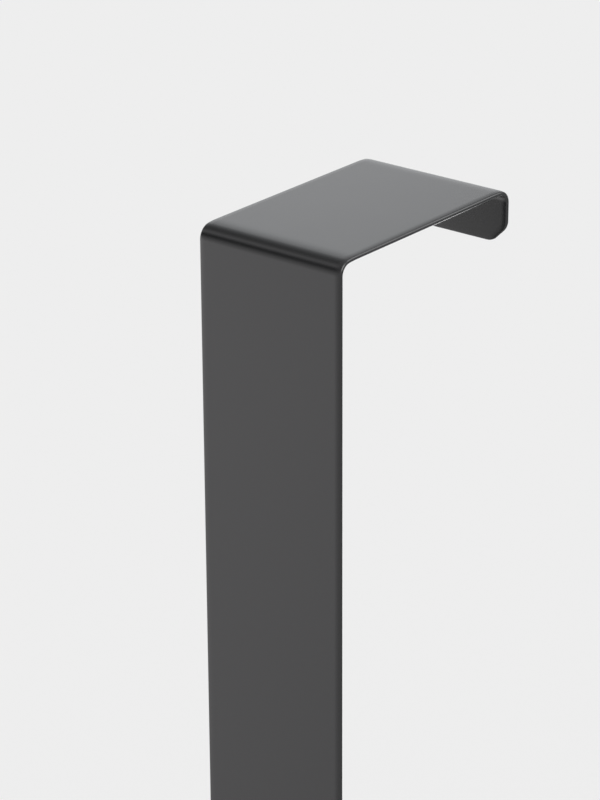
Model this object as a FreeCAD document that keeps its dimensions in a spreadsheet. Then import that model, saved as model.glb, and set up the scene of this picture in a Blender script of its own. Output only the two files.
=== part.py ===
import FreeCAD, Part
import os
import Sketcher

# An over-door hanger: one flat steel strip, bent twice, that hooks over the top edge of a door
# and carries a column of turned coat pegs. All sizes are in millimetres.
#
# Frame: the origin is the middle of the seat pad's underside, where the part rests on the door.
# +Z is up, -Y points into the room, away from the door's face, and +X is to the right.

DRIVING_DIMENSIONS = {
    # the bent strip
    "strip_width": 30.0,
    "sheet_thickness": 0.9,
    "top_depth": 47.5,  # outside to outside, front strip to rear lip
    "drop": 330.0,  # from the top plate's upper face to the end of the front strip
    "lip_drop": 10.3,  # from the top plate's upper face to the end of the rear lip
    "inner_bend_radius": 1.7,
    "corner_clip": 3.1,  # the clipped corners of the lip and of the strip's end
    "clip_round": 2.6,  # where a clip runs into the straight edges
    "edge_round": 0.4,  # tumbled edge of the blank, under the coating
    "screw_clearance": 4.5,  # diameter of the holes for the peg screws
    # the column of pegs
    "first_peg_drop": 140.0,  # from the top plate's upper face to the first peg's axis
    "peg_pitch": 80.0,
    "peg_length": 36.0,
    "peg_base_diameter": 16.0,
    "peg_base_thickness": 2.5,
    "peg_base_taper": 2.0,
    "peg_stem_diameter": 10.0,
    "peg_head_diameter": 22.0,
    "peg_head_thickness": 5.0,
    "peg_head_taper": 3.0,
    "peg_rim_round": 1.2,
    "peg_stem_fillet": 2.0,
    "peg_hole_diameter": 4.0,
    "peg_hole_depth": 10.0,
    "peg_hole_point": 1.2,  # depth of the drill's cone
    # M4 screws with thin heads and hexagon sockets
    "screw_diameter": 3.9,
    "screw_length": 10.0,
    "screw_tip_chamfer": 0.5,
    "screw_head_diameter": 8.0,
    "screw_head_thickness": 1.5,
    "screw_head_round": 0.3,
    "screw_hexagon": 2.5,  # across the flats
    "screw_socket_depth": 1.3,
    # lock washers with inner teeth
    "washer_diameter": 8.0,
    "washer_inner_diameter": 5.6,
    "washer_tip_diameter": 4.4,
    "washer_thickness": 0.5,
    "washer_tooth_root": 1.3,
    "washer_tooth_tip": 0.7,
    # felt pads on adhesive film
    "film_thickness": 0.2,
    "seat_pad_width": 23.0,
    "seat_pad_length": 36.0,
    "seat_pad_thickness": 1.0,
    "back_pad_width": 22.0,
    "back_pad_length": 40.0,
    "back_pad_thickness": 2.3,
    "upper_back_pad_drop": 33.0,  # from the top plate's upper face to the pad's middle
    "lower_back_pad_drop": 260.0,
    "pad_corner_radius": 3.0,
}
PEG_NAMES = ("upper_peg", "middle_peg", "lower_peg")
WASHER_TEETH = 8
TOUCH = 1e-6  # how near an edge lies to the place that picks it

doc = FreeCAD.newDocument("over_door_hanger")


# ---------------------------------------------------------------- the sheet of dimensions
dims = doc.addObject("Spreadsheet::Sheet", "dims")
for row, (alias, value) in enumerate(DRIVING_DIMENSIONS.items(), start=1):
    dims.set(f"A{row}", alias)
    dims.set(f"B{row}", str(value))
    dims.setAlias(f"B{row}", alias)
doc.recompute()

# Places that several pieces share, written as expressions on the sheet
UNDERSIDE_Z = "(dims.seat_pad_thickness + dims.film_thickness)"  # under the top plate
TOP_Z = f"({UNDERSIDE_Z} + dims.sheet_thickness)"
STRIP_END_Z = f"({TOP_Z} - dims.drop)"
LIP_END_Z = f"({TOP_Z} - dims.lip_drop)"
FRONT_Y = "(-dims.top_depth / 2)"  # the front strip's face towards the room
BACK_OF_STRIP_Y = f"({FRONT_Y} + dims.sheet_thickness)"
REAR_Y = "(dims.top_depth / 2)"
LIP_INSIDE_Y = f"({REAR_Y} - dims.sheet_thickness)"
FILM_BACK_Y = f"({BACK_OF_STRIP_Y} + dims.film_thickness)"
WASHER_BACK_Y = f"({BACK_OF_STRIP_Y} + dims.washer_thickness)"


# ---------------------------------------------------------------- helpers
def value_of(expression):
    """The number that an expression on the sheet has now."""
    return float(dims.evalExpression(expression))


def new_body(name):
    body = doc.addObject("PartDesign::Body", name)
    body.Label = name
    return body


def bind(feature, **expressions):
    """Binds properties of a feature to expressions on the sheet."""
    for prop, expression in expressions.items():
        feature.setExpression(prop, expression)
    doc.recompute()


def place(body, x="0", y="0", z="0"):
    """Puts a body at expressions on the sheet."""
    for axis, expression in (("x", x), ("y", y), ("z", z)):
        body.setExpression(f"Placement.Base.{axis}", expression)


def origin_plane(body, role):
    return next(part for part in body.Origin.OriginFeatures if part.Role == role)


def new_sketch(body, name, role):
    sketch = body.newObject("Sketcher::SketchObject", name)
    sketch.AttachmentSupport = [(origin_plane(body, role), "")]
    sketch.MapMode = "FlatFace"
    return sketch


def add_outline(sketch, corners):
    """Adds a closed outline of straight lines. Each corner is two expressions, both constrained."""
    points = [FreeCAD.Vector(value_of(across), value_of(up), 0) for across, up in corners]
    following = points[1:] + points[:1]
    sketch.addGeometry([Part.LineSegment(a, b) for a, b in zip(points, following)])
    for line, (across, up) in enumerate(corners):
        next_line = (line + 1) % len(corners)
        sketch.addConstraint(Sketcher.Constraint("Coincident", line, 2, next_line, 1))
        for kind, expression, number in (
            ("DistanceX", across, points[line].x),
            ("DistanceY", up, points[line].y),
        ):
            index = sketch.addConstraint(Sketcher.Constraint(kind, -1, 1, line, 1, number))
            sketch.setExpression(f"Constraints[{index}]", expression)


def add_circle(sketch, diameter, up="0"):
    """Adds a circle on the sketch's upright axis, its diameter and height given by expressions."""
    centre = FreeCAD.Vector(0, value_of(up), 0)
    circle = Part.Circle(centre, FreeCAD.Vector(0, 0, 1), value_of(diameter) / 2)
    geometry = sketch.addGeometry(circle)
    sketch.addConstraint(Sketcher.Constraint("PointOnObject", geometry, 3, -2))
    height = sketch.addConstraint(Sketcher.Constraint("DistanceY", -1, 1, geometry, 3, centre.y))
    sketch.setExpression(f"Constraints[{height}]", up)
    size = sketch.addConstraint(Sketcher.Constraint("Diameter", geometry, value_of(diameter)))
    sketch.setExpression(f"Constraints[{size}]", diameter)


def pad(body, sketch, length, **settings):
    feature = body.newObject("PartDesign::Pad", f"{sketch.Name}_pad")
    feature.Profile = sketch
    for prop, setting in settings.items():
        setattr(feature, prop, setting)
    bind(feature, Length=length)
    return feature


def revolve(body, sketch):
    """Turns a sketch all the way round its level axis."""
    feature = body.newObject("PartDesign::Revolution", f"{sketch.Name}_turned")
    feature.Profile = sketch
    feature.ReferenceAxis = (sketch, ["H_Axis"])
    feature.Angle = 360.0
    doc.recompute()
    return feature


def round_edges(body, base, radius, picks, kind="Fillet", prop="Radius"):
    """Fillets, or chamfers, the edges of a feature that the pick function says yes to."""
    names = [f"Edge{i}" for i, edge in enumerate(base.Shape.Edges, start=1) if picks(edge)]
    if not names:
        raise RuntimeError(f"no edge of {body.Label} is picked for {radius}")
    feature = body.newObject(f"PartDesign::{kind}", f"{body.Label}_{kind.lower()}")
    feature.Base = (base, names)
    bind(feature, **{prop: radius})
    return feature


def runs_at(edge, **place_of):
    """True where both ends and the middle of an edge share the given coordinates."""
    ends = [edge.valueAt(edge.FirstParameter), edge.valueAt(edge.LastParameter)]
    points = ends + [edge.valueAt((edge.FirstParameter + edge.LastParameter) / 2)]
    return all(
        abs(getattr(point, axis) - number) < TOUCH
        for axis, number in place_of.items()
        for point in points
    )


def rim_at(edge, radius, y):
    """True for a full circle of this radius about the level Y axis, at this y."""
    is_circle = isinstance(edge.Curve, Part.Circle)
    return is_circle and abs(edge.Curve.Radius - radius) < TOUCH and abs(edge.Curve.Center.y - y) < TOUCH


# ---------------------------------------------------------------- the bent strip
def make_hanger_strip():
    """The side profile with sharp corners, padded to the strip's width, then bent round by fillets."""
    body = new_body("hanger_strip")
    profile = new_sketch(body, "strip_profile", "YZ_Plane")
    add_outline(
        profile,
        [
            (FRONT_Y, STRIP_END_Z),
            (FRONT_Y, TOP_Z),
            (REAR_Y, TOP_Z),
            (REAR_Y, LIP_END_Z),
            (LIP_INSIDE_Y, LIP_END_Z),
            (LIP_INSIDE_Y, UNDERSIDE_Z),
            (BACK_OF_STRIP_Y, UNDERSIDE_Z),
            (BACK_OF_STRIP_Y, STRIP_END_Z),
        ],
    )
    blank = pad(body, profile, "dims.strip_width", Midplane=True)

    top, underside = value_of(TOP_Z), value_of(UNDERSIDE_Z)
    outer_bends = round_edges(
        body,
        blank,
        "dims.inner_bend_radius + dims.sheet_thickness",
        lambda edge: any(runs_at(edge, y=value_of(y), z=top) for y in (FRONT_Y, REAR_Y)),
    )
    inner_bends = round_edges(
        body,
        outer_bends,
        "dims.inner_bend_radius",
        lambda edge: any(
            runs_at(edge, y=value_of(y), z=underside) for y in (BACK_OF_STRIP_Y, LIP_INSIDE_Y)
        ),
    )
    half_width = value_of("dims.strip_width / 2")
    ends = (value_of(STRIP_END_Z), value_of(LIP_END_Z))
    clipped = round_edges(
        body,
        inner_bends,
        "dims.corner_clip",
        lambda edge: any(runs_at(edge, x=x, z=z) for x in (-half_width, half_width) for z in ends),
        kind="Chamfer",
        prop="Size",
    )
    clip = value_of("dims.corner_clip")
    clip_ends = [(half_width, end + clip) for end in ends] + [(half_width - clip, end) for end in ends]
    corners = round_edges(
        body,
        clipped,
        "dims.clip_round",
        lambda edge: any(runs_at(edge, x=side * x, z=z) for x, z in clip_ends for side in (-1, 1)),
    )
    # One end edge on each broad face is enough: the rounding follows the whole outline from it.
    edges = round_edges(
        body,
        corners,
        "dims.edge_round",
        lambda edge: any(
            runs_at(edge, y=value_of(y), z=ends[0]) for y in (FRONT_Y, BACK_OF_STRIP_Y)
        ),
    )

    hole = new_sketch(body, "screw_hole", "XZ_Plane")
    add_circle(hole, "dims.screw_clearance", up=f"{TOP_Z} - dims.first_peg_drop")
    drilled = body.newObject("PartDesign::Pocket", "screw_hole_cut")
    drilled.Profile = hole
    drilled.Type = "ThroughAll"
    drilled.Reversed = True  # towards the room, away from the lip
    doc.recompute()
    column = body.newObject("PartDesign::LinearPattern", "screw_hole_column")
    column.Originals = [drilled]
    column.Direction = (hole, ["V_Axis"])
    column.Reversed = True
    column.Occurrences = len(PEG_NAMES)
    body.Tip = column
    bind(column, Length=f"dims.peg_pitch * {len(PEG_NAMES) - 1}")

    bore = Part.Face(Part.Wire(Part.makeCircle(value_of("dims.screw_clearance / 2")))).Area
    drilled_away = bore * value_of("dims.sheet_thickness") * len(PEG_NAMES)
    if abs(edges.Shape.Volume - column.Shape.Volume - drilled_away) > 0.01 * drilled_away:
        raise RuntimeError("the screw holes don't go through the strip once each")
    return body


# ---------------------------------------------------------------- pegs, screws and washers
def make_peg(name, drop):
    """One turned peg: base, waisted stem and round head, with a blind hole up its axis."""
    body = new_body(name)
    profile = new_sketch(body, f"{name}_profile", "YZ_Plane")
    stem = "dims.peg_stem_diameter / 2"
    head = "dims.peg_head_diameter / 2"
    head_back = "-(dims.peg_length - dims.peg_head_thickness)"
    add_outline(
        profile,
        [
            ("0", "dims.peg_hole_diameter / 2"),
            ("0", "dims.peg_base_diameter / 2"),
            ("-dims.peg_base_thickness", "dims.peg_base_diameter / 2"),
            ("-(dims.peg_base_thickness + dims.peg_base_taper)", stem),
            (f"{head_back} + dims.peg_head_taper", stem),
            (head_back, head),
            ("-dims.peg_length", head),
            ("-dims.peg_length", "0"),
            ("-(dims.peg_hole_depth + dims.peg_hole_point)", "0"),
            ("-dims.peg_hole_depth", "dims.peg_hole_diameter / 2"),
        ],
    )
    turned = revolve(body, profile)
    base_rims = [("dims.peg_base_diameter / 2", "-dims.peg_base_thickness")]
    head_rims = [(head, head_back), (head, "-dims.peg_length")]
    stem_ends = [
        (stem, "-(dims.peg_base_thickness + dims.peg_base_taper)"),
        (stem, f"{head_back} + dims.peg_head_taper"),
    ]

    def on(rims):
        numbers = [(value_of(radius), value_of(y)) for radius, y in rims]
        return lambda edge: any(rim_at(edge, radius, y) for radius, y in numbers)

    waisted = round_edges(body, turned, "dims.peg_stem_fillet", on(stem_ends))
    soft_rims = round_edges(body, waisted, "dims.peg_rim_round", on(head_rims))
    body.Tip = round_edges(body, soft_rims, "dims.peg_rim_round / 2", on(base_rims))
    place(body, y=FRONT_Y, z=f"{TOP_Z} - {drop}")
    return body


def make_screw(name, drop):
    """A thin-headed screw. Its plain shank stands for the thread, and its head is at the back."""
    body = new_body(name)
    profile = new_sketch(body, f"{name}_profile", "YZ_Plane")
    add_outline(
        profile,
        [
            ("dims.screw_head_thickness", "0"),
            ("dims.screw_head_thickness", "dims.screw_head_diameter / 2"),
            ("0", "dims.screw_head_diameter / 2"),
            ("0", "dims.screw_diameter / 2"),
            ("-dims.screw_length", "dims.screw_diameter / 2"),
            ("-dims.screw_length", "0"),
        ],
    )
    turned = revolve(body, profile)
    head_radius = value_of("dims.screw_head_diameter / 2")
    head_face = value_of("dims.screw_head_thickness")
    shank_radius = value_of("dims.screw_diameter / 2")
    shank_end = value_of("-dims.screw_length")
    rounded = round_edges(
        body,
        turned,
        "dims.screw_head_round",
        lambda edge: rim_at(edge, head_radius, head_face),
    )
    pointed = round_edges(
        body,
        rounded,
        "dims.screw_tip_chamfer",
        lambda edge: rim_at(edge, shank_radius, shank_end),
        kind="Chamfer",
        prop="Size",
    )
    socket = body.newObject("PartDesign::SubtractivePrism", f"{name}_socket")
    socket.AttachmentSupport = [(origin_plane(body, "XZ_Plane"), "")]
    socket.MapMode = "FlatFace"
    socket.Polygon = 6
    socket.setExpression("AttachmentOffset.Base.z", "-dims.screw_head_thickness")
    bind(
        socket,
        Circumradius="dims.screw_hexagon / 2 / cos(30 deg)",
        Height="dims.screw_socket_depth",
    )
    body.Tip = socket
    if socket.Shape.Volume >= pointed.Shape.Volume:
        raise RuntimeError(f"the hexagon socket of {name} cuts nothing")
    place(body, y=WASHER_BACK_Y, z=f"{TOP_Z} - {drop}")
    return body


def make_lock_washer(name, drop):
    """A flat ring with a circle of teeth that point inwards."""
    body = new_body(name)
    ring = new_sketch(body, f"{name}_ring", "XZ_Plane")
    add_circle(ring, "dims.washer_diameter")
    add_circle(ring, "dims.washer_inner_diameter")
    pad(body, ring, "dims.washer_thickness")
    tooth = new_sketch(body, f"{name}_tooth", "XZ_Plane")
    root = "(dims.washer_diameter + dims.washer_inner_diameter) / 4"
    add_outline(
        tooth,
        [
            ("-dims.washer_tooth_tip / 2", "dims.washer_tip_diameter / 2"),
            ("dims.washer_tooth_tip / 2", "dims.washer_tip_diameter / 2"),
            ("dims.washer_tooth_root / 2", root),
            ("-dims.washer_tooth_root / 2", root),
        ],
    )
    first_tooth = pad(body, tooth, "dims.washer_thickness")
    teeth = body.newObject("PartDesign::PolarPattern", f"{name}_teeth")
    teeth.Originals = [first_tooth]
    teeth.Axis = (tooth, ["N_Axis"])
    teeth.Angle = 360.0
    teeth.Occurrences = WASHER_TEETH
    body.Tip = teeth
    doc.recompute()
    # The ring is padded towards -Y, so its back face is at the body's origin.
    place(body, y=WASHER_BACK_Y, z=f"{TOP_Z} - {drop}")
    return body


# ---------------------------------------------------------------- felt pads and their films
def make_flat_piece(name, role, width, length, thickness, reversed_pad):
    """A sheet piece with rounded corners, centred on its own origin and padded to one side."""
    body = new_body(name)
    outline = new_sketch(body, f"{name}_outline", role)
    add_outline(
        outline,
        [
            (f"-{width} / 2", f"-{length} / 2"),
            (f"{width} / 2", f"-{length} / 2"),
            (f"{width} / 2", f"{length} / 2"),
            (f"-{width} / 2", f"{length} / 2"),
        ],
    )
    flat = pad(body, outline, thickness, Reversed=reversed_pad)
    half_width = value_of(f"{width} / 2")
    long_axis = "y" if role == "XY_Plane" else "z"
    half_length = value_of(f"{length} / 2")
    body.Tip = round_edges(
        body,
        flat,
        "dims.pad_corner_radius",
        lambda edge: any(
            runs_at(edge, **{"x": x, long_axis: along})
            for x in (-half_width, half_width)
            for along in (-half_length, half_length)
        ),
    )
    return body


def make_seat_pad():
    """The felt under the top plate, and the film that holds it there."""
    size = ("dims.seat_pad_width", "dims.seat_pad_length")
    felt = make_flat_piece("seat_pad", "XY_Plane", *size, "dims.seat_pad_thickness", False)
    film = make_flat_piece("seat_pad_adhesive", "XY_Plane", *size, "dims.film_thickness", False)
    place(felt)
    place(film, z="dims.seat_pad_thickness")
    return [felt, film]


def make_back_pad(name, drop):
    """One felt pad behind the front strip, and its film."""
    size = ("dims.back_pad_width", "dims.back_pad_length")
    felt = make_flat_piece(name, "XZ_Plane", *size, "dims.back_pad_thickness", True)
    film = make_flat_piece(f"{name}_adhesive", "XZ_Plane", *size, "dims.film_thickness", True)
    place(felt, y=FILM_BACK_Y, z=f"{TOP_Z} - {drop}")
    place(film, y=BACK_OF_STRIP_Y, z=f"{TOP_Z} - {drop}")
    return [felt, film]


# ---------------------------------------------------------------- the assembly
pieces = [make_hanger_strip()]
for number, peg_name in enumerate(PEG_NAMES):
    peg_drop = f"(dims.first_peg_drop + {number} * dims.peg_pitch)"
    pieces.append(make_peg(peg_name, peg_drop))
    pieces.append(make_screw(f"{peg_name}_screw", peg_drop))
    pieces.append(make_lock_washer(f"{peg_name}_lock_washer", peg_drop))
pieces.extend(make_seat_pad())
pieces.extend(make_back_pad("upper_back_pad", "dims.upper_back_pad_drop"))
pieces.extend(make_back_pad("lower_back_pad", "dims.lower_back_pad_drop"))
doc.recompute()

# ---------------------------------------------------------------- checks and export
for item in doc.Objects:
    if {"Invalid", "Error"} & set(item.State):
        raise RuntimeError(f"{item.Label} didn't recompute: {item.State}")
os.makedirs("parts", exist_ok=True)
for piece in pieces:
    if piece.Shape.isNull() or not piece.Shape.isValid() or len(piece.Shape.Solids) != 1:
        raise RuntimeError(f"{piece.Label} isn't one valid solid")
    piece.Shape.exportStep(f"parts/{piece.Label}.step")
    box = piece.Shape.optimalBoundingBox()
    sides = ((box.XMin, box.XMax), (box.YMin, box.YMax), (box.ZMin, box.ZMax))
    reach = ", ".join(f"{axis} {low:.2f}..{high:.2f}" for axis, (low, high) in zip("xyz", sides))
    print(f"{piece.Label}: {piece.Shape.Volume:.1f} mm3, {reach}")
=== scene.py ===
import math
import bmesh
import bpy
from mathutils import Matrix, Vector, noise


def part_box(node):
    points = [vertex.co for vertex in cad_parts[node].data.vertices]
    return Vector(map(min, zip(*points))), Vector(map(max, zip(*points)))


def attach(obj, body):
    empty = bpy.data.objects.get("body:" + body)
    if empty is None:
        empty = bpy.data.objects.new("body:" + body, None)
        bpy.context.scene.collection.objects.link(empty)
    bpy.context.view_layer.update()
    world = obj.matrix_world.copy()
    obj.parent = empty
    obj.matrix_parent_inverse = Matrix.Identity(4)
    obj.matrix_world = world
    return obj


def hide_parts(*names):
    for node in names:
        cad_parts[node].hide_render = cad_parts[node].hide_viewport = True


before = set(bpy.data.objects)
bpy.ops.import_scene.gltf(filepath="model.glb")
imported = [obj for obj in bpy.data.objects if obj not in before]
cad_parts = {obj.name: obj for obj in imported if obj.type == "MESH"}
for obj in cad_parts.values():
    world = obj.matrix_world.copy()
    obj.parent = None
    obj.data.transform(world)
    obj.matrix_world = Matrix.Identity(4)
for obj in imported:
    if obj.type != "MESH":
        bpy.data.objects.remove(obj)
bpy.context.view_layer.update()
mm = 0.001  # sizes below are written as millimetres times mm
touching = 1e-7  # places closer together than this are one place

# places that come from the frame
stripLow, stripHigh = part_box("hanger_strip")
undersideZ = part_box("seat_pad_adhesive")[1].z  # where the seat pad's film meets the top plate
sheet = stripHigh.z - undersideZ
pegNames = [name for name in sorted(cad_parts) if name.endswith("_peg")]
padNames = [name for name in sorted(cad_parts) if name.endswith("_pad")]
print("frame loaded:", len(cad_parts), "nodes")


# shader helpers

class Signal:
    # one output socket; arithmetic on it adds Math nodes
    def __init__(self, wiring, socket):
        self.wiring = wiring
        self.socket = socket

    def math(self, operation, first, second):
        return self.wiring.node("ShaderNodeMath", {"operation": operation}, {0: first, 1: second})

    def also(self, output):
        # another output of the same node
        return Signal(self.wiring, self.socket.node.outputs[output])

    def __add__(self, other):
        return self.math("ADD", self, other)

    def __radd__(self, other):
        return self.math("ADD", other, self)

    def __sub__(self, other):
        return self.math("SUBTRACT", self, other)

    def __rsub__(self, other):
        return self.math("SUBTRACT", other, self)

    def __mul__(self, other):
        return self.math("MULTIPLY", self, other)

    def __rmul__(self, other):
        return self.math("MULTIPLY", other, self)


class Wiring:
    # makes and links the nodes of one tree
    def __init__(self, tree):
        self.tree = tree

    def node(self, kind, settings, sockets, output=0):
        made = self.tree.nodes.new(kind)
        for name, value in settings.items():
            if name == "stops":
                self.setStops(made.color_ramp.elements, value)
            else:
                setattr(made, name, value)
        for key, value in sockets.items():
            self.feed(made.inputs[key], value)
        return Signal(self, made.outputs[output])

    def setStops(self, elements, stops):
        while len(elements) < len(stops):
            elements.new(1.0)
        for element, (position, colour) in zip(elements, stops):
            element.position = position
            element.color = (*colour, 1)

    def feed(self, socket, value):
        if isinstance(value, Signal):
            self.tree.links.new(value.socket, socket)
        else:
            socket.default_value = value

    def tint(self, factor, dark, light):
        # a colour between two others; either may be a Signal
        ends = [end if isinstance(end, Signal) else (*end, 1) for end in (dark, light)]
        sockets = {"Factor": factor, 6: ends[0], 7: ends[1]}
        return self.node("ShaderNodeMix", {"data_type": "RGBA"}, sockets, 2)

    def ease(self, value, start, end, low=0.0, high=1.0):
        # smooth step from low, at start, to high, at end
        sockets = {"Value": value, 1: start, 2: end, 3: low, 4: high}
        return self.node("ShaderNodeMapRange", {"interpolation_type": "SMOOTHSTEP"}, sockets)


class Shade(Wiring):
    # a material under construction
    def __init__(self, name, colour):
        self.material = bpy.data.materials.new(name)
        self.material.use_nodes = True
        self.material.diffuse_color = (*colour, 1)
        super().__init__(self.material.node_tree)
        self.surface = self.tree.nodes["Principled BSDF"]
        self.place = self.node("ShaderNodeTexCoord", {}, {}, "Object")

    def set(self, **constants):
        for name, value in constants.items():
            self.surface.inputs[name.replace("_", " ")].default_value = value

    def drive(self, name, signal):
        self.feed(self.surface.inputs[name], signal)

    def grain(self, size, detail=2.0, stretch=(1, 1, 1), roughness=0.5):
        # noise whose lumps are about this many metres across
        where = self.node("ShaderNodeMapping", {}, {"Vector": self.place, "Scale": stretch})
        sockets = {"Vector": where, "Scale": 1 / size, "Detail": detail, "Roughness": roughness}
        return self.node("ShaderNodeTexNoise", {}, sockets, "Fac")

    def bump(self, height, depth, strength=1.0, under=None):
        sockets = {"Height": height, "Distance": depth, "Strength": strength}
        if under:
            sockets["Normal"] = under
        return self.node("ShaderNodeBump", {}, sockets)


# materials

powderCoat = {
    "dark": (0.0100, 0.0103, 0.0109),
    "light": (0.0125, 0.0128, 0.0135),
    "roughness": 0.24,
    "roughnessSpread": 0.04,
    "ior": 1.8,
    "peelSize": 0.55 * mm,
    "peelDepth": 0.0012 * mm,
    "pigmentSize": 0.09 * mm,
    "pigmentDepth": 0.0006 * mm,
    "pigmentShare": 0.6,  # of the colour's unevenness; the rest is clouding
    "cloudSize": 9 * mm,
}


def makePowderCoat():
    coat = powderCoat
    shade = Shade("satinPowderCoat", coat["light"])
    pigment = shade.grain(coat["pigmentSize"], detail=3)
    peel = shade.grain(coat["peelSize"], detail=1)
    cloud = shade.grain(coat["cloudSize"], detail=2)
    share = coat["pigmentShare"]
    mix = pigment * share + cloud * (1 - share)
    shade.drive("Base Color", shade.tint(mix, coat["dark"], coat["light"]))
    uneven = (pigment + cloud) * 0.5 - 0.5
    shade.drive("Roughness", coat["roughness"] + uneven * coat["roughnessSpread"])
    peelBump = shade.bump(peel, coat["peelDepth"])
    shade.drive("Normal", shade.bump(pigment, coat["pigmentDepth"], under=peelBump))
    shade.set(IOR=coat["ior"])
    return shade.material


pressedFelt = {
    "dark": (0.022, 0.022, 0.024),
    "light": (0.085, 0.085, 0.090),
    "fibreWidth": 0.10 * mm,
    "fibreStretch": 6,  # length over width
    "clumpSize": 0.9 * mm,
    "fibreShare": 0.65,
    "contrast": (0.35, 0.65),  # the noise between these runs from dark to light
    "roughness": (0.88, 0.98),  # of dark and of light places
    "napDepth": 0.12 * mm,
    "napStrength": 0.8,
    "sheen": 0.35,
    "sheenRoughness": 0.6,
}


def makePressedFelt():
    felt = pressedFelt
    shade = Shade("pressedFelt", felt["light"])
    long = felt["fibreStretch"]
    stretches = ((long, 1, 1), (1, long, 1), (1, 1, long))
    threads = [shade.grain(long * felt["fibreWidth"], 2, stretch, 0.6) for stretch in stretches]
    fibres = (threads[0] + threads[1] + threads[2]) * (1 / len(threads))
    clumps = shade.grain(felt["clumpSize"], detail=4)
    nap = fibres * felt["fibreShare"] + clumps * (1 - felt["fibreShare"])
    low, high = felt["contrast"]
    contrast = shade.node("ShaderNodeMapRange", {}, {"Value": nap, 1: low, 2: high})
    shade.drive("Base Color", shade.tint(contrast, felt["dark"], felt["light"]))
    smooth, rough = felt["roughness"]
    shade.drive("Roughness", smooth + contrast * (rough - smooth))
    shade.drive("Normal", shade.bump(nap, felt["napDepth"], felt["napStrength"]))
    shade.set(Sheen_Weight=felt["sheen"], Sheen_Roughness=felt["sheenRoughness"])
    return shade.material


# plainer finishes: a stain in colour and roughness, over a fine relief

stainedFinishes = {
    "blackOxideSteel": {
        "dark": (0.018, 0.018, 0.020),
        "light": (0.045, 0.045, 0.050),
        "stainSize": 1.6 * mm,
        "roughness": 0.34,
        "roughnessSpread": 0.2,
        "reliefSize": 0.12 * mm,
        "reliefDepth": 0.002 * mm,
        "metallic": 0.85,
    },
    "zincPlatedSteel": {
        "dark": (0.42, 0.43, 0.45),
        "light": (0.62, 0.63, 0.64),
        "stainSize": 0.5 * mm,
        "roughness": 0.30,
        "roughnessSpread": 0.2,
        "reliefSize": 0.5 * mm,
        "reliefDepth": 0.003 * mm,
        "metallic": 1.0,
    },
    "acrylicFilm": {
        "dark": (0.62, 0.61, 0.56),
        "light": (0.74, 0.73, 0.69),
        "stainSize": 1.2 * mm,
        "roughness": 0.42,
        "roughnessSpread": 0.15,
        "reliefSize": 1.2 * mm,
        "reliefDepth": 0.01 * mm,
        "metallic": 0.0,
    },
}


def makeStained(name):
    finish = stainedFinishes[name]
    shade = Shade(name, finish["light"])
    stain = shade.grain(finish["stainSize"], detail=3)
    relief = shade.grain(finish["reliefSize"], detail=3)
    shade.drive("Base Color", shade.tint(stain, finish["dark"], finish["light"]))
    shade.drive("Roughness", finish["roughness"] + (stain - 0.5) * finish["roughnessSpread"])
    shade.drive("Normal", shade.bump(relief, finish["reliefDepth"]))
    shade.set(Metallic=finish["metallic"])
    return shade.material


coatMaterial = makePowderCoat()
feltMaterial = makePressedFelt()
oxideMaterial = makeStained("blackOxideSteel")
zincMaterial = makeStained("zincPlatedSteel")
filmMaterial = makeStained("acrylicFilm")
print("materials made")


# mesh helpers

crispTurn = math.radians(40)  # edges that turn by more than this stay crisp

def middle(nodeName):
    low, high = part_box(nodeName)
    return (low + high) / 2


def pieceName(nodeName):
    first, *rest = nodeName.split("_")
    return first + "".join(word.capitalize() for word in rest)


def linkMesh(mesh, name):
    # gives a finished bmesh an object of its own
    data = bpy.data.meshes.new(name)
    mesh.to_mesh(data)
    mesh.free()
    made = bpy.data.objects.new(name, data)
    bpy.context.scene.collection.objects.link(made)
    return made


def finishPiece(mesh, name, material, node, sharpTurn=crispTurn):
    # turns a bmesh into a smooth shaded piece that stands for one CAD node
    bmesh.ops.recalc_face_normals(mesh, faces=mesh.faces)
    for face in mesh.faces:
        face.smooth = True
    piece = linkMesh(mesh, name)
    piece.data.set_sharp_from_angle(angle=sharpTurn)
    piece.data.materials.append(material)
    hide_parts(node)
    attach(piece, "root")
    return piece


def flatSheet(mesh, width, length):
    # one flat face in the XY plane, centred on the origin
    bmesh.ops.create_grid(mesh, x_segments=1, y_segments=1, size=0.5)
    bmesh.ops.scale(mesh, vec=(width, length, 1), verts=mesh.verts[:])


def bevel(mesh, parts, offset, steps, affect="EDGES"):
    bmesh.ops.bevel(mesh, geom=parts, offset=offset, offset_type="OFFSET", affect=affect,
                    segments=steps, profile=0.5, material=-1, clamp_overlap=False)


def cutCorners(mesh, size, steps=1):
    # clips each corner of a flat outline, or with more steps rounds it
    bevel(mesh, mesh.verts[:], size, steps, "VERTICES")
    mesh.faces.ensure_lookup_table()


def raiseFace(mesh, height):
    # extrudes a mesh's one face upwards and gives back the lower face and the raised one
    face = mesh.faces[0]
    raised = bmesh.ops.extrude_face_region(mesh, geom=[face], use_keep_orig=True)["geom"]
    lifted = [part for part in raised if isinstance(part, bmesh.types.BMVert)]
    bmesh.ops.translate(mesh, verts=lifted, vec=(0, 0, height))
    bmesh.ops.recalc_face_normals(mesh, faces=mesh.faces[:])
    return face, next(part for part in raised if isinstance(part, bmesh.types.BMFace))


def cutAcross(mesh, places, normal):
    # cuts the whole mesh by parallel planes
    for place in places:
        parts = mesh.verts[:] + mesh.edges[:] + mesh.faces[:]
        bmesh.ops.bisect_plane(mesh, geom=parts, dist=touching, plane_co=Vector(normal) * place,
                               plane_no=normal)


# the bent strip: a flat blank with rounded edges, cut across at the bends and then folded

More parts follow.
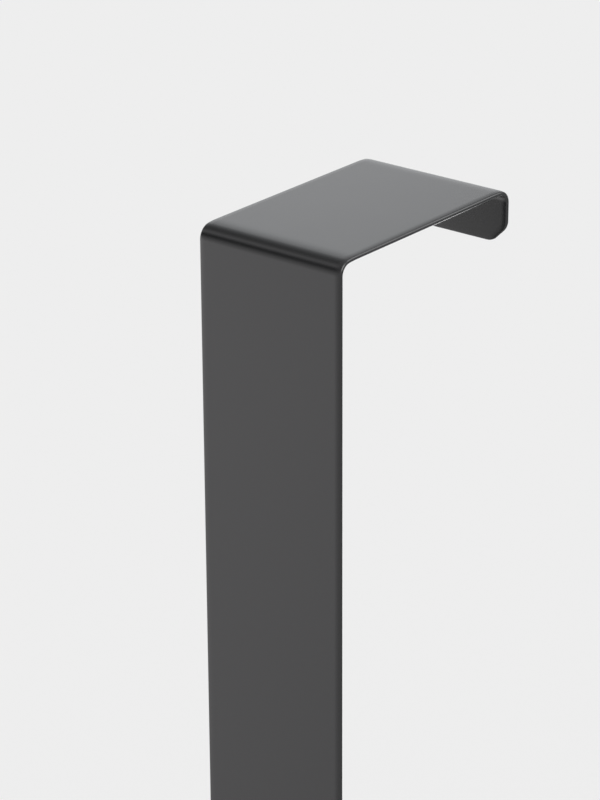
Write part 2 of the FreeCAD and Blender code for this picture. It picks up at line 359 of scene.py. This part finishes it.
stripShape = {
    "innerBend": 1.7 * mm,
    "bendLead": 2.8 * mm,  # the top plate starts to dip this far before each bend
    "leadTurn": 8.0,  # degrees that it has turned where the bend proper starts
    "lipDrop": 10.3 * mm,
    "clip": 3.1 * mm,  # the clipped corners at both ends
    "clipRound": 2.6 * mm,
    "clipSteps": 8,
    "edgeRound": 0.32 * mm,
    "edgeSteps": 8,
    "outerRoll": (1.4 * mm, 0.13 * mm),  # (width, depth) of the faces' fall towards the edges
    "innerRoll": (1.2 * mm, 0.09 * mm),
    "rollSteps": 10,
    "bendCuts": 36,
    "leadCuts": 8,
    "travelSteps": 100,  # for adding up a bend's path
    "panelLength": 6 * mm,
    "screwClearance": 4.5 * mm,
    "holeSides": 64,
    "drillLength": 7.2 * mm,
}


def edgeProfile(rollWidth, rollDepth):
    # steps of (distance in from the edge, height over the sheet's middle)
    shape = stripShape
    rounding = shape["edgeRound"]
    shoulder = sheet / 2 - rounding
    turns = [math.radians(90 * step / shape["edgeSteps"]) for step in range(shape["edgeSteps"] + 1)]
    places = [(rounding * (1 - math.cos(turn)), shoulder + rounding * math.sin(turn)) for turn in turns]
    rest = rollWidth - rounding
    for step in range(1, shape["rollSteps"] + 1):
        places.append((rounding + rest * step / shape["rollSteps"], sheet / 2))
    fall = [rollDepth * (1 - inward / rollWidth) ** 2 for inward, height in places]
    return [(inward, height - drop) for (inward, height), drop in zip(places, fall)]


class FoldLine:
    # the sheet's middle line, from the strip's end up, over the top and down to the lip's end
    def __init__(self):
        shape = stripShape
        lead = math.radians(shape["leadTurn"])
        quarter = math.pi / 2
        radius = shape["innerBend"] + sheet / 2
        bend = [(radius * (quarter - lead), shape["bendCuts"], lambda part: part * (quarter - lead)),
                (shape["bendLead"], shape["leadCuts"], lambda part: quarter - lead * (1 - part) ** 2)]
        back = [(shape["bendLead"], shape["leadCuts"], lambda part: quarter + lead * part ** 2),
                (radius * (quarter - lead), shape["bendCuts"],
                 lambda part: quarter + lead + part * (quarter - lead))]
        reach = Vector((0, 0))
        for length, cuts, turn in bend:
            reach += self.travel(length, turn, 1)
        rise = stripHigh.z - sheet / 2 - stripLow.z - reach.y
        span = stripHigh.y - stripLow.y - sheet - 2 * reach.x
        drop = shape["lipDrop"] - sheet / 2 - reach.y
        self.zones = [self.panel(rise, 0), *bend, self.panel(span, quarter), *back,
                      self.panel(drop, 2 * quarter)]
        self.starts = [Vector((stripLow.y + sheet / 2, stripLow.z))]
        self.runs = [0]
        for length, cuts, turn in self.zones:
            self.starts.append(self.starts[-1] + self.travel(length, turn, 1))
            self.runs.append(self.runs[-1] + length)
        self.known = {}

    def panel(self, length, turn):
        return length, max(1, round(length / stripShape["panelLength"])), lambda part: turn

    def travel(self, length, turn, part):
        # how far the line gets, along Y and Z, by this part of a zone
        steps = stripShape["travelSteps"]
        whole = Vector((0, 0))
        for step in range(steps):
            angle = turn(part * (step + 0.5) / steps)
            whole += Vector((math.sin(angle), math.cos(angle)))
        return whole * (length * part / steps)

    def cuts(self):
        places = []
        for (length, cuts, turn), start in zip(self.zones, self.runs):
            places += [start + length * step / cuts for step in range(cuts)]
        return places[1:]

    def at(self, run):
        # a point of the line and the outward direction there, both along Y and Z
        key = round(run / touching)
        if key not in self.known:
            index = max(0, min(sum(run > start for start in self.runs) - 1, len(self.zones) - 1))
            length, cuts, turn = self.zones[index]
            part = (run - self.runs[index]) / length
            angle = turn(part)
            outward = Vector((-math.cos(angle), math.sin(angle)))
            self.known[key] = (self.starts[index] + self.travel(length, turn, part), outward)
        return self.known[key]


def buildHangerStrip():
    shape = stripShape
    line = FoldLine()
    width = stripHigh.x - stripLow.x
    length = line.runs[-1]
    outer = edgeProfile(*shape["outerRoll"])
    inner = edgeProfile(*shape["innerRoll"])
    mesh = bmesh.new()
    flatSheet(mesh, width, length)
    cutCorners(mesh, shape["clip"])
    clipTurn = math.radians(45)  # at both ends of a clipped corner
    cutCorners(mesh, shape["clipRound"] * math.tan(clipTurn / 2), shape["clipSteps"])
    bmesh.ops.translate(mesh, verts=mesh.verts, vec=(0, length / 2, -inner[0][1]))
    innerFace, outerFace = raiseFace(mesh, inner[0][1] + outer[0][1])
    for panel, profile in ((outerFace, outer), (innerFace, inner)):
        for (inward, height), (nextInward, nextHeight) in zip(profile, profile[1:]):
            bmesh.ops.inset_region(mesh, faces=[panel], thickness=nextInward - inward,
                                   depth=nextHeight - height, use_even_offset=True, use_boundary=True)
    cutAcross(mesh, line.cuts(), (0, 1, 0))

    for vertex in mesh.verts:  # fold the blank along the line
        across, run, out = vertex.co
        point, outward = line.at(run)
        place = point + outward * out
        vertex.co = (across, place.x, place.y)
    strip = finishPiece(mesh, "hangerStrip", coatMaterial, "hanger_strip")
    drillStrip(strip)
    return strip


def drillStrip(strip):
    # takes the screw holes out of the folded strip
    mesh = bmesh.new()
    for pegName in pegNames:
        place = middle(pegName)
        radius = stripShape["screwClearance"] / 2
        turn = Matrix.Translation((place.x, stripLow.y, place.z)) @ Matrix.Rotation(math.pi / 2, 4, "X")
        bmesh.ops.create_cone(mesh, cap_ends=True, segments=stripShape["holeSides"], radius1=radius,
                              radius2=radius, depth=stripShape["drillLength"], matrix=turn)
    drill = linkMesh(mesh, "stripDrill")
    cut = strip.modifiers.new("screwHoles", "BOOLEAN")
    cut.object = drill
    cut.operation = "DIFFERENCE"
    cut.solver = "EXACT"
    bpy.context.view_layer.update()
    graph = bpy.context.evaluated_depsgraph_get()
    drilled = bpy.data.meshes.new_from_object(strip.evaluated_get(graph), depsgraph=graph)
    strip.modifiers.clear()
    strip.data = drilled
    bpy.data.objects.remove(drill)
    drilled.set_sharp_from_angle(angle=crispTurn)


strip = buildHangerStrip()
print("strip folded and drilled:", len(strip.data.polygons), "faces")


# pegs: turned in a lathe, so each is one outline spun about its own level axis

pegShape = {
    "base": 8 * mm,  # radii
    "stem": 5 * mm,
    "head": 11 * mm,
    "bore": 2 * mm,
    "baseThickness": 2.5 * mm,
    "baseTaper": 2 * mm,
    "headThickness": 5 * mm,
    "headTaper": 3 * mm,
    "boreDepth": 10 * mm,
    "borePoint": 1.2 * mm,
    "rimRound": 1.2 * mm,
    "stemFillet": 2 * mm,
    "turns": 128,
    "rimSteps": 8,
}


def spinOutline(mesh, outline, steps):
    # outline: (radius, height) places that start and end on the Z axis or close on themselves
    points = [mesh.verts.new((radius, 0, height)) for radius, height in outline]
    edges = [mesh.edges.new(pair) for pair in zip(points, points[1:])]
    bmesh.ops.spin(mesh, geom=points + edges, cent=(0, 0, 0), axis=(0, 0, 1), angle=2 * math.pi,
                   steps=steps, use_merge=True)
    bmesh.ops.remove_doubles(mesh, verts=mesh.verts[:], dist=touching)
    bmesh.ops.recalc_face_normals(mesh, faces=mesh.faces[:])


def roundRim(mesh, radius, height, rounding, steps):
    # rounds, or fills, the ring of edges at one place of a spun shape
    def here(vertex):
        return abs(vertex.co.xy.length - radius) < touching and abs(vertex.co.z - height) < touching
    ring = [edge for edge in mesh.edges if all(here(vertex) for vertex in edge.verts)]
    bevel(mesh, ring, rounding * math.tan(abs(ring[0].calc_face_angle()) / 2), steps)


def turnLevel(mesh, place, forward):
    # lays the Z axis along Y, forward being 1 for towards +Y, and moves the shape to its place
    turn = Matrix.Rotation(-forward * math.pi / 2, 4, "X")
    bmesh.ops.transform(mesh, matrix=Matrix.Translation(place) @ turn, verts=mesh.verts[:])


def buildPeg(pegName):
    shape = pegShape
    low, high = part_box(pegName)
    length = high.y - low.y
    headBack = length - shape["headThickness"]
    stemEnds = (shape["baseThickness"] + shape["baseTaper"], headBack - shape["headTaper"])
    outline = [(0, length), (shape["head"], length), (shape["head"], headBack),
               (shape["stem"], stemEnds[1]), (shape["stem"], stemEnds[0]),
               (shape["base"], shape["baseThickness"]), (shape["base"], 0), (shape["bore"], 0),
               (shape["bore"], shape["boreDepth"]), (0, shape["boreDepth"] + shape["borePoint"])]
    mesh = bmesh.new()
    spinOutline(mesh, outline, shape["turns"])
    for height in stemEnds:
        roundRim(mesh, shape["stem"], height, shape["stemFillet"], shape["rimSteps"])
    for height in (length, headBack):
        roundRim(mesh, shape["head"], height, shape["rimRound"], shape["rimSteps"])
    roundRim(mesh, shape["base"], shape["baseThickness"], shape["rimRound"] / 2, shape["rimSteps"])
    turnLevel(mesh, (middle(pegName).x, high.y, middle(pegName).z), -1)
    finishPiece(mesh, pieceName(pegName), coatMaterial, pegName)


# screws: thin heads at the strip's back, with hexagon sockets

screwShape = {
    "shank": 1.95 * mm,  # radius
    "headThickness": 1.5 * mm,
    "headRound": 0.3 * mm,
    "tipChamfer": 0.5 * mm,
    "hexagon": 2.5 * mm,  # across the flats
    "socketDepth": 1.3 * mm,
    "socketLead": 0.12 * mm,  # small bevel round the socket's mouth
    "cutsPerFlat": 8,
    "rimSteps": 6,
    "crispTurn": math.radians(30),
}


def growRing(mesh, edges, lift, radiusRatio=1.0):
    # extrudes a closed ring of edges along Z and scales it about the Z axis
    grown = bmesh.ops.extrude_edge_only(mesh, edges=edges)["geom"]
    verts = [part for part in grown if isinstance(part, bmesh.types.BMVert)]
    bmesh.ops.translate(mesh, verts=verts, vec=(0, 0, lift))
    bmesh.ops.scale(mesh, verts=verts, vec=(radiusRatio, radiusRatio, 1))
    return [part for part in grown if isinstance(part, bmesh.types.BMEdge)]


def buildScrew(screwName):
    shape = screwShape
    low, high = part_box(screwName)
    headRadius = (high.x - low.x) / 2
    shankLength = high.y - low.y - shape["headThickness"]
    faceRadius = headRadius - shape["headRound"]
    sides = 6
    corner = shape["hexagon"] / 2 / math.cos(math.pi / sides)
    lead = (corner + shape["socketLead"]) / corner
    mesh = bmesh.new()
    bmesh.ops.create_circle(mesh, segments=sides, radius=corner * lead)
    bmesh.ops.subdivide_edges(mesh, edges=mesh.edges[:], cuts=shape["cutsPerFlat"] - 1)
    mouth = mesh.edges[:]
    bmesh.ops.create_circle(mesh, segments=len(mouth), radius=faceRadius)
    ring = [edge for edge in mesh.edges if edge not in mouth]
    bmesh.ops.bridge_loops(mesh, edges=mouth + ring)
    walls = growRing(mesh, mouth, -shape["socketLead"], 1 / lead)
    floor = growRing(mesh, walls, shape["socketLead"] - shape["socketDepth"])
    bmesh.ops.contextual_create(mesh, geom=floor)
    radius, height = faceRadius, 0
    for step in range(1, shape["rimSteps"] + 1):  # the head's rounded rim
        turn = math.radians(90 * step / shape["rimSteps"])
        wider = faceRadius + shape["headRound"] * math.sin(turn)
        lower = shape["headRound"] * (math.cos(turn) - 1)
        ring = growRing(mesh, ring, lower - height, wider / radius)
        radius, height = wider, lower
    ring = growRing(mesh, ring, shape["headRound"] - shape["headThickness"])
    ring = growRing(mesh, ring, 0, shape["shank"] / headRadius)
    ring = growRing(mesh, ring, shape["tipChamfer"] - shankLength)
    tip = (shape["shank"] - shape["tipChamfer"]) / shape["shank"]
    ring = growRing(mesh, ring, -shape["tipChamfer"], tip)
    bmesh.ops.contextual_create(mesh, geom=ring)
    turnLevel(mesh, (middle(screwName).x, high.y, middle(screwName).z), 1)
    finishPiece(mesh, pieceName(screwName), oxideMaterial, screwName, shape["crispTurn"])


for pegName in pegNames:
    buildPeg(pegName)
    buildScrew(pegName + "_screw")
print("pegs and screws turned:", len(pegNames))


# felt pads: pressed felt, cut with rounded corners, flat only where the film holds it

padShape = {
    "corner": 3 * mm,
    "cornerSteps": 10,
    "rim": 0.35 * mm,  # the cut edge softens towards the free face
    "rimSteps": 4,
    "cell": 0.4 * mm,
    "lumps": ((2.4 * mm, 0.030 * mm), (0.55 * mm, 0.035 * mm)),  # (size, height) of the nap
    "napInset": 0.03 * mm,  # the nap's middle lies this far inside the pad's box
    "edgeLumps": 1.5,  # how much rougher the cut edge is than the face
}


def buildFeltPad(padName):
    # made lying down with its film side on the XY plane, then turned to where the film is
    shape = padShape
    low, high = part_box(padName)
    film = middle(padName + "_adhesive")
    sizes = high - low
    lying = film.z > high.z  # the seat pad lies under the top plate
    length, thickness = (sizes.y, sizes.z) if lying else (sizes.z, sizes.y)
    mesh = bmesh.new()
    flatSheet(mesh, sizes.x, length)
    cutCorners(mesh, shape["corner"], shape["cornerSteps"])
    raiseFace(mesh, thickness)
    rim = [edge for edge in mesh.edges if all(vertex.co.z > thickness / 2 for vertex in edge.verts)]
    bevel(mesh, rim, shape["rim"], shape["rimSteps"])
    for axis, size in ((Vector((1, 0, 0)), sizes.x), (Vector((0, 1, 0)), length)):
        count = round(size / shape["cell"])
        cutAcross(mesh, [size * (step / count - 0.5) for step in range(1, count)], axis)
    count = max(2, round(thickness / shape["cell"]))
    cutAcross(mesh, [thickness * step / count for step in range(1, count)], Vector((0, 0, 1)))
    mesh.normal_update()
    seed = Vector(high) / mm
    moves = {}
    for vertex in mesh.verts:
        if vertex.co.z > touching:
            sideways = 1 - abs(vertex.normal.z)
            gain = 1 + (shape["edgeLumps"] - 1) * sideways
            rise = sum(noise.noise(vertex.co / size + seed) * height for size, height in shape["lumps"])
            moves[vertex] = vertex.normal * (gain * rise - shape["napInset"])
    for vertex, move in moves.items():
        vertex.co += move
        vertex.co.z = max(vertex.co.z, 0)
    place = middle(padName)
    if lying:
        place.z = high.z
        turn = Matrix.Rotation(math.pi, 4, "X")
    else:
        place.y = low.y
        turn = Matrix.Rotation(-math.pi / 2, 4, "X")
    bmesh.ops.transform(mesh, matrix=Matrix.Translation(place) @ turn, verts=mesh.verts[:])
    piece = finishPiece(mesh, pieceName(padName), feltMaterial, padName, math.pi)


for padName in padNames:
    buildFeltPad(padName)
print("felt pads cut:", len(padNames))


# finish of the pieces that the frame already shapes well

nodeFinishes = {"_lock_washer": zincMaterial, "_adhesive": filmMaterial}
for name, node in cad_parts.items():
    for ending, material in nodeFinishes.items():
        if name.endswith(ending):
            node.data.materials.clear()
            node.data.materials.append(material)
print("washers and films finished")


# camera

cameraPlace = {
    "azimuth": 38.822,  # degrees round from straight in front, towards the right
    "elevation": 22.793,
    "roll": -0.305,
    "distance": 495.08 * mm,
    "sideways": 5.209 * mm,  # how far the view's middle lies from the front bend's middle
    "upwards": -25.661 * mm,
    "lens": 136.046,  # for a sensor this wide, both in millimetres
    "sensor": 36,
}


def addCamera():
    place = cameraPlace
    azimuth, elevation, roll = (math.radians(place[key]) for key in ("azimuth", "elevation", "roll"))
    turn = (Matrix.Rotation(azimuth, 3, "Z") @ Matrix.Rotation(math.pi / 2 - elevation, 3, "X")
            @ Matrix.Rotation(roll, 3, "Z"))
    aim = Vector((0, stripLow.y, stripHigh.z))
    data = bpy.data.cameras.new("studioCamera")
    data.lens = place["lens"]
    data.sensor_width = place["sensor"]
    camera = bpy.data.objects.new("studioCamera", data)
    camera.matrix_world = turn.to_4x4()
    camera.location = aim + turn @ Vector((place["sideways"], place["upwards"], place["distance"]))
    bpy.context.scene.collection.objects.link(camera)
    bpy.context.scene.camera = camera


addCamera()
print("camera placed")


# floor, surroundings and light

studio = {
    "surroundings": 0.855,
    "floorTone": 1.0,
    "floorDrop": 35 * mm,  # below the strip's end
    "floorSize": 12.0,
    "flagPlace": (-18 * mm, -15 * mm, -27 * mm),  # a dark card that gloss on the lip sees
    "flagSize": (20 * mm, 30 * mm),
    "flagTone": 0.52,
}
# What gloss sees: long soft boxes that run left to right, as (degrees from overhead, towards the
# back, brightness). On the left, the studio is dark between them.
leftBoxes = ((-180, 0.60), (-158, 1.20), (-142, 0.60), (-126, 0.75), (-116, 0.94), (-110, 0.88),
             (-102, 0.66), (-87, 0.46), (-76, 0.24), (-66, 0.02), (-57, 0.01), (-50, 0.20),
             (-38, 0.62), (-30, 0.54), (-16, 0.22), (-4, 0.16), (10, 0.22), (26, 0.44), (44, 0.68),
             (62, 1.12), (85, 1.18), (120, 1.00), (180, 0.60))
middleBoxes = ((-180, 0.42), (-85, 0.42), (-62, 0.20), (-20, 0.35), (20, 0.46), (85, 0.40),
               (105, 0.25), (135, 0.25), (180, 0.42))
rightBoxes = ((-180, 0.42), (-85, 0.46), (-45, 0.52), (20, 0.55), (85, 0.42), (105, 0.34),
              (135, 0.34), (180, 0.42))
gloss = {
    "brightest": 1.25,
    "backTint": (0.985, 1.0, 1.02),
    "frontTint": (1.0, 0.985, 1.0),
    "sides": (  # boxes, and how far across they start to show and show fully
        (leftBoxes, -1.0, -1.0),
        (middleBoxes, -0.57, -0.38),
        (rightBoxes, -0.25, 0.15),
    ),
    "spots": (  # small lights: direction, brightness, cosines where each fades in and is full
        ((0.42, 0.66, 0.62), 1.6, 0.92, 0.975),
        ((-0.28, 0.72, -0.64), 2.2, 0.90, 0.97),
        ((0.78, -0.24, 0.58), 2.5, 0.88, 0.97),
        ((-0.92, -0.33, -0.20), 0.6, 0.93, 0.99),
    ),
}


def addBoard(name, tone, size, place, tilt, **finish):
    # a flat, matte board of the studio
    mesh = bmesh.new()
    flatSheet(mesh, *size)
    turn = Matrix.Translation(place) @ Matrix.Rotation(tilt, 4, "X")
    bmesh.ops.transform(mesh, matrix=turn, verts=mesh.verts[:])
    board = linkMesh(mesh, name)
    shade = Shade(name, (tone, tone, tone))
    shade.set(Roughness=1.0, Specular_IOR_Level=0.0, **finish)
    board.data.materials.append(shade.material)
    return board


def addFloor():
    tone = studio["floorTone"]
    sizes = (studio["floorSize"], studio["floorSize"])
    place = (0, 0, stripLow.z - studio["floorDrop"])
    floor = addBoard("studioFloor", tone, sizes, place, 0, Base_Color=(tone, tone, tone, 1))
    floor.visible_glossy = False  # gloss sees the soft boxes below the floor's level too


def addFlag():
    tone = studio["flagTone"]
    flag = addBoard("studioFlag", tone, studio["flagSize"], studio["flagPlace"], math.pi / 2,
                    Base_Color=(0, 0, 0, 1), Emission_Color=(tone, tone, tone, 1), Emission_Strength=1.0)
    flag.visible_camera = False
    flag.visible_diffuse = False
    flag.visible_shadow = False


def addSurroundings():
    world = bpy.data.worlds.new("studioWorld")
    world.use_nodes = True
    world.cycles.sampling_method = "NONE"
    wiring = Wiring(world.node_tree)
    direction = wiring.node("ShaderNodeTexCoord", {}, {}, "Generated")
    across = wiring.node("ShaderNodeSeparateXYZ", {}, {"Vector": direction}, "X")
    tilt = across.math("ARCTAN2", across.also("Y"), across.also("Z"))
    brightest = gloss["brightest"]
    where = {"Fac": tilt * (0.5 / math.pi) + 0.5}
    lit = None
    for boxes, starts, shows in gloss["sides"]:
        stops = []
        for degrees, level in boxes:
            tint = gloss["backTint"] if degrees > 0 else gloss["frontTint"]
            stops.append((degrees / 360 + 0.5, tuple(level / brightest * part for part in tint)))
        side = wiring.node("ShaderNodeValToRGB", {"stops": stops}, where)
        lit = wiring.tint(wiring.ease(across, starts, shows), lit, side) if lit else side
    for aim, brightness, fadesIn, isFull in gloss["spots"]:
        sockets = {0: direction, 1: Vector(aim).normalized()}
        nearness = wiring.node("ShaderNodeVectorMath", {"operation": "DOT_PRODUCT"}, sockets, "Value")
        spot = wiring.ease(nearness, fadesIn, isFull, 0.0, brightness / brightest)
        lit = wiring.node("ShaderNodeVectorMath", {"operation": "ADD"}, {0: lit, 1: spot})
    bright = wiring.node("ShaderNodeVectorMath", {"operation": "SCALE"}, {0: lit, "Scale": brightest})
    isGloss = wiring.node("ShaderNodeLightPath", {}, {}, "Is Glossy Ray")
    level = studio["surroundings"]
    colour = wiring.tint(isGloss, (level, level, level), bright)
    background = world.node_tree.nodes["Background"]
    wiring.feed(background.inputs["Color"], colour)
    bpy.context.scene.world = world
    bpy.context.scene.view_settings.view_transform = "Standard"


addFloor()
addFlag()
addSurroundings()
print("studio lit")
